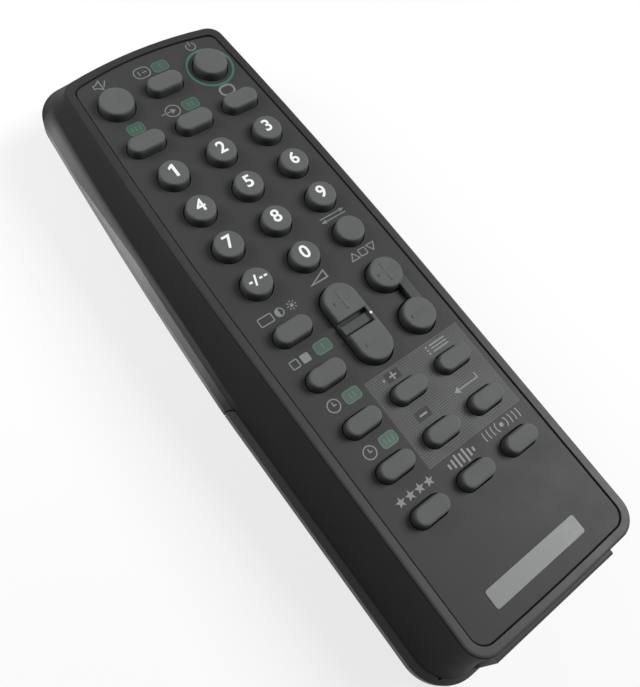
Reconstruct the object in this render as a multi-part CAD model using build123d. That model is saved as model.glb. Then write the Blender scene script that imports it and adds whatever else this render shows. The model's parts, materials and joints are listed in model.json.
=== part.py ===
from build123d import *
import os

# A television remote control that lies on its back, in millimetres.
# X runs across it, +Y towards the far end with the infrared window, Z up from the table.
# The underside is flat under the cells and rises from there to the far end.

# Plan of the body, at the outer edge of the rim round the face
RIM_HALF = 24.0            # half width beside the cells
RIM_FAR_HALF = 21.6        # half width at the far end
NEAR_Y = -75.65            # near edge of the rim at its corners
FAR_Y = 78.75              # far edge of the rim at its corners
BEND_Y = -1.5              # where the underside starts to rise
NEAR_BOW = 0.3             # how far the near edge curves out
FAR_BOW = 2.2              # how far the far edge curves out
RIM_NEAR_ROUND = 5.5
RIM_FAR_ROUND = 4.0
NEAR_ROUND_SHARE = 0.9     # corner radius gained for each millimetre that the plan grows
FAR_ROUND_SHARE = 0.7

# Heights
FACE_Z = 25.0              # face of the remote above the table
FAR_RISE = 12.5            # height of the underside at the far end
RIM_PROUD = 0.3            # rim above the face
RIM_DEPTH = 1.2            # depth of the upright rim below the face
RIM_EDGE = 0.8

# Side walls, which flare out towards a lip round the underside
LIP_GROW = 5.0             # lip outside the rim, beside the cells
LIP_FAR_GROW = 4.8         # the same beside the far end
LIP_NEAR_GROW = 4.4        # the same beyond the near end
LIP_END_GROW = 7.0         # the same beyond the far end, where the body slopes out like a nose
LIP_HEIGHT = 4.2
LIP_BEVEL = 1.4
FLARE = 3.3                # wall outside the rim where it meets the lip
FLARE_STRAIGHT = 0.4       # straight share of the flare, the rest is a curve
END_FLARE = 5.5            # the same at the far end
WALL = 2.0
FLOOR = 2.0

# Face plate
RIM_WIDTH = 2.15
GROOVE = 0.18              # gap between the plate and the rim
PLATE_THICK = 1.8
PLATE_EDGE = 0.25
CAVITY_INSET = 3.9         # inner face of the side walls inside the rim's outer edge
CAVITY_END_INSET = 2.6

# Keys
PITCH_X = 13.0
NUMBER_PITCH = 10.8
LOWER_PITCH = 11.1
TOP_ROW_Y = 68.0
SECOND_ROW_Y = 55.3
NUMBER_ROW_Y = 44.85       # first of the four rows of round keys
LOWER_SHIFT = 0.5          # keys from the numbers down sit this far to the right
UPPER_LEFT_YS = (-0.8, -12.7)
LOWER_ROW_Y = -25.2        # first of the three lower rows
ROCKER_Y = -6.8
KEY_PROUD = 2.4
LARGE_KEY = 8.4            # round keys of the top row, at the face
ROUND_KEY = 7.2            # the other round keys
OVAL = (9.3, 4.9)          # oval keys
LOWER_OVAL = (8.9, 4.5)    # oval keys of the three lower rows
KEY_EDGE = 0.5
KEY_TAPER = 6.0            # degrees, above the face
KEY_GAP = 0.25             # round each key, in its hole
ROCKER_GAP = 0.35          # round each tilting key, in its hole
FLANGE = 0.8               # flange outside the key, under the plate
FLANGE_THICK = 0.8
FLANGE_GAP = 0.35          # between the flange and the plate
PLUNGER = 3.4
KEY_TRAVEL = 0.7
STOP_GAP = 0.15            # left over a contact when its key is fully down
VOLUME_WIDTH = 8.6
VOLUME_LENGTH = 20.7
VOLUME_SADDLE = 3.8        # lower stretch between the two pads
VOLUME_WEB = 1.0           # higher strip along its right side
VOLUME_GROOVES = (1.0, 0.6)    # widths of the grooves beside its far and near pads
GROOVE_DROP = 1.7
WEB_DROP = 0.2
VOLUME_SPAN = 10.6         # between its two plungers
SADDLE_DROP = 0.9
PROGRAMME_SPAN = 12.0      # between the centres of its two pads
PROGRAMME_PAD = 8.2
WEB = (1.2, 3.5)           # left and right edge of the web between the pads
PIVOT_RADIUS = 0.8
PIVOT_LENGTH = 4.0
ROCKER_FLANGE = 6.0        # length of a rocker's flange, beside its pivot
ROCKER_PLUNGER_DROP = 0.2

# Name plate, a bare strip of silver foil
LABEL_LENGTH = 25.9
LABEL_WIDTH = 4.2
LABEL_X = -0.7
LABEL_Y = -67.7
LABEL_THICK = 0.4
LABEL_PROUD = 0.12
LABEL_ROUND = 0.6

# Circuit board and what it carries
DECK_Z = 18.4              # top of the deck over the cells, where the board lies
DECK_THICK = 1.2
BOARD_THICK = 1.6
BOARD_NEAR_Y = -56.0
BOARD_FAR_Y = 71.2
BOARD_INSET = 0.5
MAT_THICK = 1.0
MAT_GAP = 0.5              # round each plunger
PAD_THICK = 0.1
CHIP = (7.6, 20.0, 2.2)
CHIP_Y = 38.0
RESONATOR = (7.0, 3.0, 5.0)
RESONATOR_AT = (12.0, 34.0)
CAPACITOR_RADIUS = 2.5
CAPACITOR_LENGTH = 9.0
CAPACITOR_AT = (-12.0, 36.0)

# Infrared lamp and window
LED_RADIUS = 2.5
LED_FLANGE = 0.4
LED_LENGTH = 5.0
LED_LEG = 0.5
LED_LEG_PITCH = 2.54
LED_LEG_LENGTH = 3.0
WINDOW_HALF = 9.0
WINDOW_Z = (17.2, 22.0)
WINDOW_WALL = 2.0
LAMP_ROOM = 8.0            # room round the lamp, back from the rim's far edge

# Two R6 cells in their bay
CELL_RADIUS = 7.25
CELL_LENGTH = 49.5
CELL_NUB_RADIUS = 2.75
CELL_NUB = 1.0
CELL_GAP = 0.6             # between the two cells
CELL_EDGE = 0.6
BAY_NEAR_Y = -70.6
BAY_FAR_Y = -12.0
BAY_GAP = 0.3
BAY_WALL = 1.4
SKIRT_WALL = 3.4           # outer wall beside the bay, which carries the rails
CONTACT_THICK = 0.4
CONTACT_WIDTH = 9.0
CONTACT_HEIGHT = 10.0
SPRING_RADIUS = 3.0
SPRING_WIRE = 0.35
SPRING_TURNS = 4

# Battery door
DOOR_PLATE = 1.8
DOOR_GAP = 0.3
DOOR_FAR_Y = -2.5
DOOR_FRONT_ROUND = 2.0     # rounded front end of its side strips
TRAY_HALF = 25.6           # inside of its side strips
TRAY_END = 0.7             # its end wall beyond the rim's near edge
PANEL_HALF = 17.8          # end panel
PANEL_TOP_Z = 18.5
PANEL_PROUD = 2.7
PANEL_FOOT_PROUD = 4.0
PANEL_DEPTH = 1.1          # how far it lies inside the rim's edge
PANEL_EDGE = 0.7
RAIL = 1.0
RAIL_Z = 2.7
RAIL_THICK = 0.6
RAIL_NEAR_Y = -68.0
GRIP_COUNT = 5
GRIP_PITCH = 2.4
GRIP_SLOT = (18.0, 1.1, 0.5)
GRIP_Y = -15.0

# Screws
SCREW_XS = (-6.5, 6.5)
SCREW_YS = (5.6, 61.7)
SCREW_SEAT_Z = 13.4
SCREW_HEAD_RADIUS = 2.4
SCREW_HEAD_HEIGHT = 1.6
SCREW_SHANK_RADIUS = 1.2
SCREW_LENGTH = 8.0
SCREW_SLOT = (3.4, 0.7, 0.8)
BOSS_RADIUS = 2.0
POST_RADIUS = 3.8
FIT = 0.3                  # clearance round bosses and screw heads

# Worked out from the sizes above
BIG = 400.0
WALL_TOP_Z = FACE_Z - RIM_DEPTH
PLATE_Z = FACE_Z - PLATE_THICK
WALL_HEIGHT = WALL_TOP_Z - LIP_HEIGHT
FAR_WALL_HEIGHT = WALL_HEIGHT - FAR_RISE
NEAR_EDGE_Y = NEAR_Y - NEAR_BOW - LIP_NEAR_GROW
FAR_EDGE_Y = FAR_Y + FAR_BOW + LIP_END_GROW
MIDDLE_Y = (NEAR_EDGE_Y + FAR_EDGE_Y) / 2
SLOPE = FAR_RISE / (FAR_EDGE_Y - BEND_Y)
FLANGE_TOP_Z = PLATE_Z - FLANGE_GAP
BOARD_TOP_Z = DECK_Z + BOARD_THICK
MAT_TOP_Z = BOARD_TOP_Z + MAT_THICK
PLUNGER_Z = BOARD_TOP_Z + PAD_THICK + KEY_TRAVEL + STOP_GAP
SKIRT_HALF = TRAY_HALF - DOOR_GAP
SKIRT_Z = DOOR_PLATE + DOOR_GAP
CELL_X = CELL_RADIUS + CELL_GAP / 2
CELL_Z = SKIRT_Z + CELL_RADIUS
BAY_HALF = 2 * CELL_RADIUS + CELL_GAP / 2 + BAY_GAP
BAY_TOP_Z = DECK_Z - DECK_THICK
SPRING_LENGTH = BAY_FAR_Y - BAY_NEAR_Y - 2 * CONTACT_THICK - CELL_LENGTH - CELL_NUB


def underside(y):
    """Height of the underside at a place along the body."""
    return max(0.0, (y - BEND_Y) * SLOPE)


def block(x0, x1, y0, y1, z0, z1):
    """Box between two corners."""
    return Pos((x0 + x1) / 2, (y0 + y1) / 2, (z0 + z1) / 2) * Box(x1 - x0, y1 - y0, z1 - z0)


def side_shape(points):
    """Outline in the side view, given as places along the body and heights."""
    return Plane.YZ * Polygon(*points, align=None)


def side_block(points, half=BIG / 2):
    """Side view outline, carried across the body."""
    return extrude(side_shape(points), half, both=True)


def above_underside():
    """All that lies above the underside."""
    return side_block([(-BIG, 0), (BEND_Y, 0), (BIG, underside(BIG)), (BIG, BIG), (-BIG, BIG)])


def both_sides(inner, outer, *others):
    """Block between two distances to the right of the middle, and its mirror image."""
    return block(inner, outer, *others) + block(-outer, -inner, *others)


def outline(grow, far_grow, near_grow, end_grow, z=0.0):
    """Plan of the body as a face at height z, grown beyond the rim at its sides, far sides and two ends."""
    half = RIM_HALF + grow
    far_half = RIM_FAR_HALF + far_grow
    near_y = NEAR_Y - near_grow
    far_y = FAR_Y + end_grow
    edges = [
        ThreePointArc((-half, near_y), (0, near_y - NEAR_BOW), (half, near_y)),
        Line((half, near_y), (half, BEND_Y)),
        TangentArc((half, BEND_Y), (far_half, far_y), tangent=(0, 1)),
        ThreePointArc((far_half, far_y), (0, far_y + FAR_BOW), (-far_half, far_y)),
        TangentArc((-half, BEND_Y), (-far_half, far_y), tangent=(0, 1)),
        Line((-half, BEND_Y), (-half, near_y)),
    ]
    face = make_face(edges)
    corners = face.vertices().sort_by(Axis.Y)
    face = fillet(corners[:2], RIM_NEAR_ROUND + NEAR_ROUND_SHARE * grow)
    corners = face.vertices().sort_by(Axis.Y)
    face = fillet(corners[-2:], RIM_FAR_ROUND + FAR_ROUND_SHARE * end_grow)
    return Pos(0, 0, z) * face


def inset(distance, end_distance, z0, z1):
    """Upright block inside the rim's plan."""
    return extrude(outline(-distance, -distance, -distance, -end_distance, z0), z1 - z0)


def wall_section(z):
    """Plan of the flared walls at a height. Low walls flare as far out as tall ones."""
    depth = WALL_TOP_Z - z

    def flare(height):
        share = depth / height
        return FLARE * (FLARE_STRAIGHT * share + (1 - FLARE_STRAIGHT) * share * share)

    near = flare(WALL_HEIGHT)
    return outline(near, flare(FAR_WALL_HEIGHT), near, END_FLARE * depth / FAR_WALL_HEIGHT, z)


def runs_across(edge):
    """Whether an edge is a straight line across the body."""
    return edge.geom_type == GeomType.LINE and abs((edge % 0.5).X) > 0.99


def lip_plan():
    """Upright block with the lip's outline."""
    return extrude(outline(LIP_GROW, LIP_FAR_GROW, LIP_NEAR_GROW, LIP_END_GROW, -1), BIG / 4)


def lip_band():
    """Lip round the underside, as high at the raised far end as at the near end."""
    far = 2 * FAR_EDGE_Y
    band = side_block([(-BIG, 0), (BEND_Y, 0), (far, underside(far)), (far, underside(far) + LIP_HEIGHT),
                       (BEND_Y, LIP_HEIGHT), (-BIG, LIP_HEIGHT)])
    lip = lip_plan() & band
    top = [edge for face in lip.faces().filter_by(lambda f: f.normal_at().Z > 0.9) for edge in face.edges()]
    return chamfer([edge for edge in top if not runs_across(edge)], LIP_BEVEL)


def make_body():
    """Solid body before it is hollowed."""
    walls = loft([wall_section(z) for z in (0.0, WALL_TOP_Z / 2, WALL_TOP_Z)]) & lip_plan()
    rim = extrude(outline(0, 0, 0, 0, WALL_TOP_Z), RIM_DEPTH + RIM_PROUD)
    rim = fillet(rim.faces().sort_by(Axis.Z)[-1].edges(), RIM_EDGE)
    return (walls + rim + lip_band()) & above_underside()


def make_tub(body):
    """Lower shell: side walls, raised rim, deck over the cells, bay walls and screw posts."""
    tub = body - inset(RIM_WIDTH, RIM_WIDTH, PLATE_Z, BIG)
    hollow = inset(CAVITY_INSET, CAVITY_END_INSET, 0, PLATE_Z)
    floor_z = SKIRT_Z + WALL
    near = BAY_FAR_Y + BAY_WALL
    rise_y = BEND_Y + (floor_z - FLOOR) / SLOPE
    far_floor_z = underside(BIG) + FLOOR
    far_room = side_block([(near, floor_z), (rise_y, floor_z), (BIG, far_floor_z), (BIG, BIG), (near, BIG)])
    tub -= hollow & (far_room + block(-BIG, BIG, -BIG, BIG, DECK_Z, BIG))
    tub -= lamp_room()
    tub -= block(-BAY_HALF, BAY_HALF, BAY_NEAR_Y, BAY_FAR_Y, -1, BAY_TOP_Z)
    tub -= both_sides(BAY_HALF + BAY_WALL, SKIRT_HALF - SKIRT_WALL, BAY_NEAR_Y + WALL, BAY_FAR_Y,
                      -1, BAY_TOP_Z)
    return tub


def door_front(cut):
    """Side view block that the door fills, grown by a gap, with the rounded front end of its side strips."""
    front_y = DOOR_FAR_Y + cut
    top = LIP_HEIGHT + cut
    shape = side_shape([(-BIG, -1), (front_y, -1), (front_y, top), (-BIG, top)])
    corner = shape.vertices().sort_by(Axis.Y)[-2:].sort_by(Axis.Z)[-1]
    return extrude(fillet(corner, DOOR_FRONT_ROUND + cut), BIG / 2, both=True)


def end_panel(cut):
    """Door's end panel, grown by a gap."""
    inner_y = NEAR_Y + PANEL_DEPTH + cut
    shape = side_shape([(inner_y, 0), (inner_y, PANEL_TOP_Z + cut), (NEAR_Y - PANEL_PROUD, PANEL_TOP_Z + cut),
                        (NEAR_Y - PANEL_FOOT_PROUD, LIP_HEIGHT - LIP_BEVEL), (NEAR_Y - PANEL_FOOT_PROUD, 0)])
    return extrude(shape, PANEL_HALF + cut, both=True)


def make_door():
    """Battery door: plate, side strips that carry the lip on, end panel, rails and thumb grip."""
    door = lip_band() & door_front(0)
    tray = block(-TRAY_HALF, TRAY_HALF, NEAR_Y - TRAY_END, BIG, DOOR_PLATE, BIG)
    panel = end_panel(0)
    top_edges = panel.edges().filter_by(Axis.X).sort_by(Axis.Z)[-2:].sort_by(Axis.Y)[0]
    panel = fillet(top_edges, PANEL_EDGE)
    door = door - tray + panel
    door -= both_sides(TRAY_HALF - RAIL, TRAY_HALF + RAIL, RAIL_NEAR_Y - DOOR_GAP, BIG,
                       RAIL_Z - DOOR_GAP, RAIL_Z + RAIL_THICK + DOOR_GAP)
    for index in range(GRIP_COUNT):
        y = GRIP_Y + index * GRIP_PITCH
        door -= Pos(0, y, 0) * Box(GRIP_SLOT[0], GRIP_SLOT[1], 2 * GRIP_SLOT[2])
    return door


def cut_for_door(tub):
    """Room for the door in the lower shell, round a skirt that reaches into it and carries its rails."""
    tray = block(-SKIRT_HALF, SKIRT_HALF, NEAR_Y - TRAY_END + DOOR_GAP, BIG, SKIRT_Z, BIG)
    tub -= door_front(DOOR_GAP) - tray
    tub -= end_panel(DOOR_GAP)
    return tub + both_sides(SKIRT_HALF - RAIL, SKIRT_HALF + RAIL, RAIL_NEAR_Y, DOOR_FAR_Y - WALL,
                            RAIL_Z, RAIL_Z + RAIL_THICK)


def screw_places():
    return [(x, y) for y in SCREW_YS for x in SCREW_XS]


def add_screw_posts(tub, body):
    """Posts from the floor up to the board, each with a well for a screw head and a hole for its shank."""
    for x, y in screw_places():
        post = Pos(x, y, 0) * extrude(Circle(POST_RADIUS), DECK_Z)
        tub += post & body
        tub -= Pos(x, y, 0) * extrude(Circle(SCREW_HEAD_RADIUS + FIT), SCREW_SEAT_Z)
        tub -= Pos(x, y, 0) * extrude(Circle(SCREW_SHANK_RADIUS + FIT), DECK_Z)
    return tub


def make_screw(x, y):
    """Pan head screw, driven up from the underside into a boss of the face plate."""
    head = Pos(x, y, SCREW_SEAT_Z - SCREW_HEAD_HEIGHT) * extrude(Circle(SCREW_HEAD_RADIUS), SCREW_HEAD_HEIGHT)
    for turn in (0, 90):
        slot = Rot(0, 0, turn) * Box(SCREW_SLOT[0], SCREW_SLOT[1], 2 * SCREW_SLOT[2])
        head -= Pos(x, y, SCREW_SEAT_Z - SCREW_HEAD_HEIGHT) * slot
    shank = Pos(x, y, SCREW_SEAT_Z) * extrude(Circle(SCREW_SHANK_RADIUS), SCREW_LENGTH)
    return head + shank


def window_opening():
    """Opening for the infrared window in the far wall."""
    return block(-WINDOW_HALF, WINDOW_HALF, FAR_Y - CAVITY_END_INSET, BIG, WINDOW_Z[0], WINDOW_Z[1])


def lamp_room():
    """Room behind the window that follows the slope of the far wall."""
    def inner_y(z):
        return FAR_Y - WINDOW_WALL + END_FLARE * (WALL_TOP_Z - z) / FAR_WALL_HEIGHT

    low = WINDOW_Z[0]
    back_y = FAR_Y - LAMP_ROOM
    shape = [(back_y, low), (inner_y(low), low), (inner_y(PLATE_Z), PLATE_Z), (back_y, PLATE_Z)]
    return side_block(shape, WINDOW_HALF)


def make_window(body):
    """Dark window that fills its opening, flush with the far end."""
    return body & window_opening() - lamp_room()


def make_led():
    """Infrared lamp on two legs under the board's far edge."""
    z = DECK_Z - LED_LEG / 2
    y = BOARD_FAR_Y + FIT
    collar = Pos(0, y, z) * Rot(-90, 0, 0) * extrude(Circle(LED_RADIUS + LED_FLANGE), 1)
    barrel = Pos(0, y, z) * Rot(-90, 0, 0) * extrude(Circle(LED_RADIUS), LED_LENGTH - LED_RADIUS)
    dome = Pos(0, y + LED_LENGTH - LED_RADIUS, z) * Sphere(LED_RADIUS)
    lamp = collar + barrel + dome
    for side in (-1, 1):
        x = side * LED_LEG_PITCH / 2
        lamp += block(x - LED_LEG / 2, x + LED_LEG / 2, y - LED_LEG_LENGTH, y + LED_LEG,
                      DECK_Z - LED_LEG, DECK_Z)
    return lamp


def large_shape():
    return Circle(LARGE_KEY / 2)


def round_shape():
    return Circle(ROUND_KEY / 2)


def oval_shape():
    return SlotOverall(*OVAL)


def lower_oval_shape():
    return SlotOverall(*LOWER_OVAL)


def volume_shape():
    return SlotOverall(VOLUME_LENGTH, VOLUME_WIDTH, rotation=90)


def programme_shape():
    """Two round pads joined by a web near their right side."""
    pad = PROGRAMME_PAD / 2
    web = Pos((WEB[0] + WEB[1]) / 2, 0) * Rectangle(WEB[1] - WEB[0], PROGRAMME_SPAN)
    return Pos(0, PROGRAMME_SPAN / 2) * Circle(pad) + Pos(0, -PROGRAMME_SPAN / 2) * Circle(pad) + web


def key_places():
    """Name, outline and centre of each sprung key."""
    columns = (-PITCH_X, 0, PITCH_X)
    lower = [x + LOWER_SHIFT for x in columns]
    places = [("key_mute", large_shape, columns[0], TOP_ROW_Y),
              ("key_status", oval_shape, columns[1], TOP_ROW_Y),
              ("key_power", large_shape, columns[2], TOP_ROW_Y)]
    for name, x in zip(("key_text", "key_input", "key_picture"), columns):
        places.append((name, oval_shape, x, SECOND_ROW_Y))
    digits = ("1", "2", "3", "4", "5", "6", "7", "8", "9", "two_digit", "0", "jump")
    for index, name in enumerate(digits):
        row, column = divmod(index, 3)
        places.append(("key_" + name, round_shape, lower[column], NUMBER_ROW_Y - row * NUMBER_PITCH))
    for index, y in enumerate(UPPER_LEFT_YS):
        places.append((f"key_left_{index + 1}", oval_shape, lower[0], y))
    for index in range(9):
        row, column = divmod(index, 3)
        place = lower[column], LOWER_ROW_Y - row * LOWER_PITCH
        places.append((f"key_lower_{index + 1}", lower_oval_shape, *place))
    return places


def rocker_places():
    """Name, outline, centre and pad spacing of each tilting key."""
    return [("key_volume", volume_shape, LOWER_SHIFT, ROCKER_Y, VOLUME_SPAN),
            ("key_programme", programme_shape, PITCH_X + LOWER_SHIFT, ROCKER_Y, PROGRAMME_SPAN)]


def cap(shape):
    """Key cap, upright from its flange to the face and tapered above it, with soft edges."""
    foot = FLANGE_TOP_Z - FLANGE_THICK
    head = Pos(0, 0, FACE_Z) * extrude(shape, KEY_PROUD, taper=KEY_TAPER)
    head = fillet(head.faces().sort_by(Axis.Z)[-1].edges(), KEY_EDGE)
    return head + Pos(0, 0, foot) * extrude(shape, FACE_Z - foot)


def make_key(shape):
    """Sprung key with a flange all round and a plunger over its contact."""
    foot = FLANGE_TOP_Z - FLANGE_THICK
    flange = Pos(0, 0, foot) * extrude(offset(shape, FLANGE), FLANGE_THICK)
    plunger = Pos(0, 0, PLUNGER_Z) * extrude(Circle(PLUNGER / 2), foot - PLUNGER_Z)
    return cap(shape) + flange + plunger


def make_rocker(head, span):
    """Tilting key with a flange beside its pivot only, two plungers and a half round pivot."""
    foot = FLANGE_TOP_Z - FLANGE_THICK
    width = head.bounding_box().size.X
    bar = Pos(0, 0, foot + FLANGE_THICK / 2) * Box(width + 2 * FLANGE, ROCKER_FLANGE, FLANGE_THICK)
    key = head + bar
    for end in (-1, 1):
        low = PLUNGER_Z - ROCKER_PLUNGER_DROP
        key += Pos(0, end * span / 2, low) * extrude(Circle(PLUNGER / 2), foot - low)
    return key + Pos(0, 0, foot) * Rot(0, 90, 0) * Cylinder(PIVOT_RADIUS, PIVOT_LENGTH)


def volume_cap():
    """Two pads with a low bridge between two grooves, and a strip along its right side."""
    top = FACE_Z + KEY_PROUD
    half = VOLUME_SADDLE / 2
    web_x = VOLUME_WIDTH / 2 - VOLUME_WEB
    cut = block(-BIG, BIG, -half, half, top - WEB_DROP, top + 1)
    cut += block(-BIG, web_x, -half, half, top - SADDLE_DROP, top + 1)
    cut += block(-BIG, web_x, half - VOLUME_GROOVES[0], half, top - GROOVE_DROP, top + 1)
    cut += block(-BIG, web_x, -half, VOLUME_GROOVES[1] - half, top - GROOVE_DROP, top + 1)
    return cap(volume_shape()) - cut


def programme_cap():
    """Two round pads joined by a lower web."""
    foot = FLANGE_TOP_Z - FLANGE_THICK
    half = PROGRAMME_SPAN / 2
    pad = cap(Circle(PROGRAMME_PAD / 2))
    web = block(WEB[0], WEB[1], -half, half, foot, FACE_Z + KEY_PROUD - SADDLE_DROP)
    return Pos(0, half, 0) * pad + Pos(0, -half, 0) * pad + web


def contact_places():
    """Places on the board under each plunger."""
    places = [(x, y) for _, _, x, y in key_places()]
    for _, _, x, y, span in rocker_places():
        places += [(x, y + span / 2), (x, y - span / 2)]
    return places


def make_plate():
    """Face plate with a hole for each key, a recess for the name plate and bosses for the screws."""
    inset_by = RIM_WIDTH + GROOVE
    plate = inset(inset_by, inset_by, PLATE_Z, FACE_Z)
    plate = fillet(plate.faces().sort_by(Axis.Z)[-1].edges(), PLATE_EDGE)
    holes = [Pos(x, y) * offset(shape(), KEY_GAP) for _, shape, x, y in key_places()]
    holes += [Pos(x, y) * offset(shape(), ROCKER_GAP) for _, shape, x, y, _ in rocker_places()]
    for hole in holes:
        plate -= Pos(0, 0, PLATE_Z) * extrude(hole, PLATE_THICK)
    plate -= label_block(FACE_Z - LABEL_THICK + LABEL_PROUD, BIG)
    for x, y in screw_places():
        boss = Pos(x, y, DECK_Z) * extrude(Circle(BOSS_RADIUS), PLATE_Z - DECK_Z)
        plate += boss - Pos(x, y, 0) * extrude(Circle(SCREW_SHANK_RADIUS), SCREW_SEAT_Z + SCREW_LENGTH)
    return plate


def label_block(z0, z1):
    """Name plate between two heights."""
    plan = RectangleRounded(LABEL_LENGTH, LABEL_WIDTH, LABEL_ROUND)
    return Pos(LABEL_X, LABEL_Y, z0) * extrude(plan, z1 - z0)


def board_outline(z0, z1):
    """Block with the board's outline, with room for the bosses."""
    sheet = inset(CAVITY_INSET + BOARD_INSET, CAVITY_END_INSET, z0, z1)
    sheet &= block(-BIG, BIG, BOARD_NEAR_Y, BOARD_FAR_Y, 0, BIG)
    for x, y in screw_places():
        sheet -= Pos(x, y, 0) * extrude(Circle(BOSS_RADIUS + FIT), BIG)
    return sheet


def make_mat():
    """Rubber mat on the board, open under each plunger."""
    mat = board_outline(BOARD_TOP_Z, MAT_TOP_Z)
    for x, y in contact_places():
        mat -= Pos(x, y, 0) * extrude(Circle(PLUNGER / 2 + MAT_GAP), BIG)
    return mat


def make_pads():
    """Printed contacts on the board under the plungers."""
    pad = extrude(Circle(PLUNGER / 2), PAD_THICK)
    return Compound([Pos(x, y, BOARD_TOP_Z) * pad for x, y in contact_places()])


def make_cell(x, end):
    """R6 cell along the body, with its raised pole at the far end for +1 or at the near end for -1."""
    tip = BAY_FAR_Y - CONTACT_THICK if end > 0 else BAY_NEAR_Y + CONTACT_THICK
    middle = tip - end * (CELL_NUB + CELL_LENGTH / 2)
    can = extrude(Circle(CELL_RADIUS), CELL_LENGTH / 2, both=True)
    can = fillet(can.edges(), CELL_EDGE)
    nub = Pos(0, 0, CELL_LENGTH / 2) * extrude(Circle(CELL_NUB_RADIUS), CELL_NUB)
    return Pos(x, middle, CELL_Z) * Rot(-90 * end, 0, 0) * (can + nub)


def make_spring(x, y, end):
    """Coil spring that presses on the flat pole of a cell, from the contact at y towards end."""
    reach = SPRING_LENGTH - 2 * SPRING_WIRE
    path = Helix(pitch=reach / SPRING_TURNS, height=reach, radius=SPRING_RADIUS)
    wire = sweep(Plane(path @ 0, z_dir=path % 0) * Circle(SPRING_WIRE), path=path)
    return Pos(x, y, CELL_Z) * Rot(-90 * end, 0, 0) * wire


def make_contact(x0, x1, end):
    """Contact plate against the near or far wall of the bay."""
    y = BAY_FAR_Y - CONTACT_THICK if end > 0 else BAY_NEAR_Y
    return block(x0, x1, y, y + CONTACT_THICK, CELL_Z - CONTACT_HEIGHT / 2, CELL_Z + CONTACT_HEIGHT / 2)


def under_board(size, place):
    """Box that hangs under the board."""
    return Pos(place[0], place[1], DECK_Z - size[2] / 2) * Box(*size)


def make_parts():
    """Every piece of the remote control by name."""
    body = make_body()
    tub = cut_for_door(make_tub(body))
    tub = add_screw_posts(tub, body) - window_opening()
    half = CONTACT_WIDTH / 2
    pieces = {
        "lower_shell": tub,
        "face_plate": make_plate(),
        "name_plate": label_block(FACE_Z - LABEL_THICK + LABEL_PROUD, FACE_Z + LABEL_PROUD),
        "infrared_window": make_window(body),
        "infrared_lamp": make_led(),
        "circuit_board": board_outline(DECK_Z, BOARD_TOP_Z),
        "controller_chip": under_board(CHIP, (0, CHIP_Y)),
        "resonator": under_board(RESONATOR, RESONATOR_AT),
        "capacitor": Pos(CAPACITOR_AT[0], CAPACITOR_AT[1], DECK_Z - CAPACITOR_RADIUS) * Rot(90, 0, 0)
        * Cylinder(CAPACITOR_RADIUS, CAPACITOR_LENGTH),
        "contact_pads": make_pads(),
        "key_mat": make_mat(),
        "battery_door": make_door(),
        "cell_left": make_cell(-CELL_X, 1),
        "cell_right": make_cell(CELL_X, -1),
        "contact_bridge": make_contact(-CELL_X - half, CELL_X + half, -1),
        "contact_positive": make_contact(-CELL_X - half, -CELL_X + half, 1),
        "contact_negative": make_contact(CELL_X - half, CELL_X + half, 1),
        "spring_near": make_spring(-CELL_X, BAY_NEAR_Y + CONTACT_THICK + SPRING_WIRE, 1),
        "spring_far": make_spring(CELL_X, BAY_FAR_Y - CONTACT_THICK - SPRING_WIRE, -1),
        "case_screws": Compound([make_screw(x, y) for x, y in screw_places()]),
    }
    for name, shape, x, y in key_places():
        pieces[name] = Pos(x, y, 0) * make_key(shape())
    caps = {"key_volume": volume_cap(), "key_programme": programme_cap()}
    for name, _, x, y, span in rocker_places():
        pieces[name] = Pos(x, y, 0) * make_rocker(caps[name], span)
    return pieces


os.makedirs("parts", exist_ok=True)
for part_name, part_solid in make_parts().items():
    export_step(Pos(0, -MIDDLE_Y, 0) * part_solid, f"parts/{part_name}.step")
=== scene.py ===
import bpy
import json
import math
from mathutils import Matrix, Vector
from typing import NamedTuple


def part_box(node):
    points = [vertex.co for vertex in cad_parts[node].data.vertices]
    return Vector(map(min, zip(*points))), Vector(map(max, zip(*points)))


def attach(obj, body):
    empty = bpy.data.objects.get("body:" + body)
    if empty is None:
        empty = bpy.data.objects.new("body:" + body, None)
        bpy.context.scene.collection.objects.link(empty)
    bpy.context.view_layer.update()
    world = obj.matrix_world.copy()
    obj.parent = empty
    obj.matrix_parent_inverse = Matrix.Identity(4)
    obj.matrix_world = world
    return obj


# Looks of a television remote control on a pale table.
# Places and sizes are in millimetres in the part's frame and are turned into metres by MM.
# Only the table and the lamps have theirs in metres.

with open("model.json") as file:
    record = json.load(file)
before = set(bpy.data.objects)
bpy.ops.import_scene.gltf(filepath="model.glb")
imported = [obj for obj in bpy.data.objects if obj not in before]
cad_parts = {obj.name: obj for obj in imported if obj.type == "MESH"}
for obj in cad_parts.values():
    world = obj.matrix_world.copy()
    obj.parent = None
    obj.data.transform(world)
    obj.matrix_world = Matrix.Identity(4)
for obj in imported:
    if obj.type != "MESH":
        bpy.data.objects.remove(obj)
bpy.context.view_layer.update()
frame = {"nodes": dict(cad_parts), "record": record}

MM = 0.001


class Finish(NamedTuple):
    """Look of a moulded surface close by."""
    roughness: float
    grain: float = 0.0         # size of the grain, or 0 for none
    depth: float = 0.0         # depth of the grain
    edge: float = 0.0          # radius to which edges look rounded
    level: float = 0.5         # share of specular reflection
    cloud: float = 0.07        # share by which the colour gets lighter and darker
    cloud_size: float = 14.0
    stray: float = 0.05        # how far the roughness strays from its mean
    patch: float = 5.0         # size of the patches in which it does


# Noise: range in which most of it lies, and its detail where it is fine grain
NOISE_RANGE = (0.3, 0.7)
GRAIN_DETAIL = 2.0
EDGE_SAMPLES = 6

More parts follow.
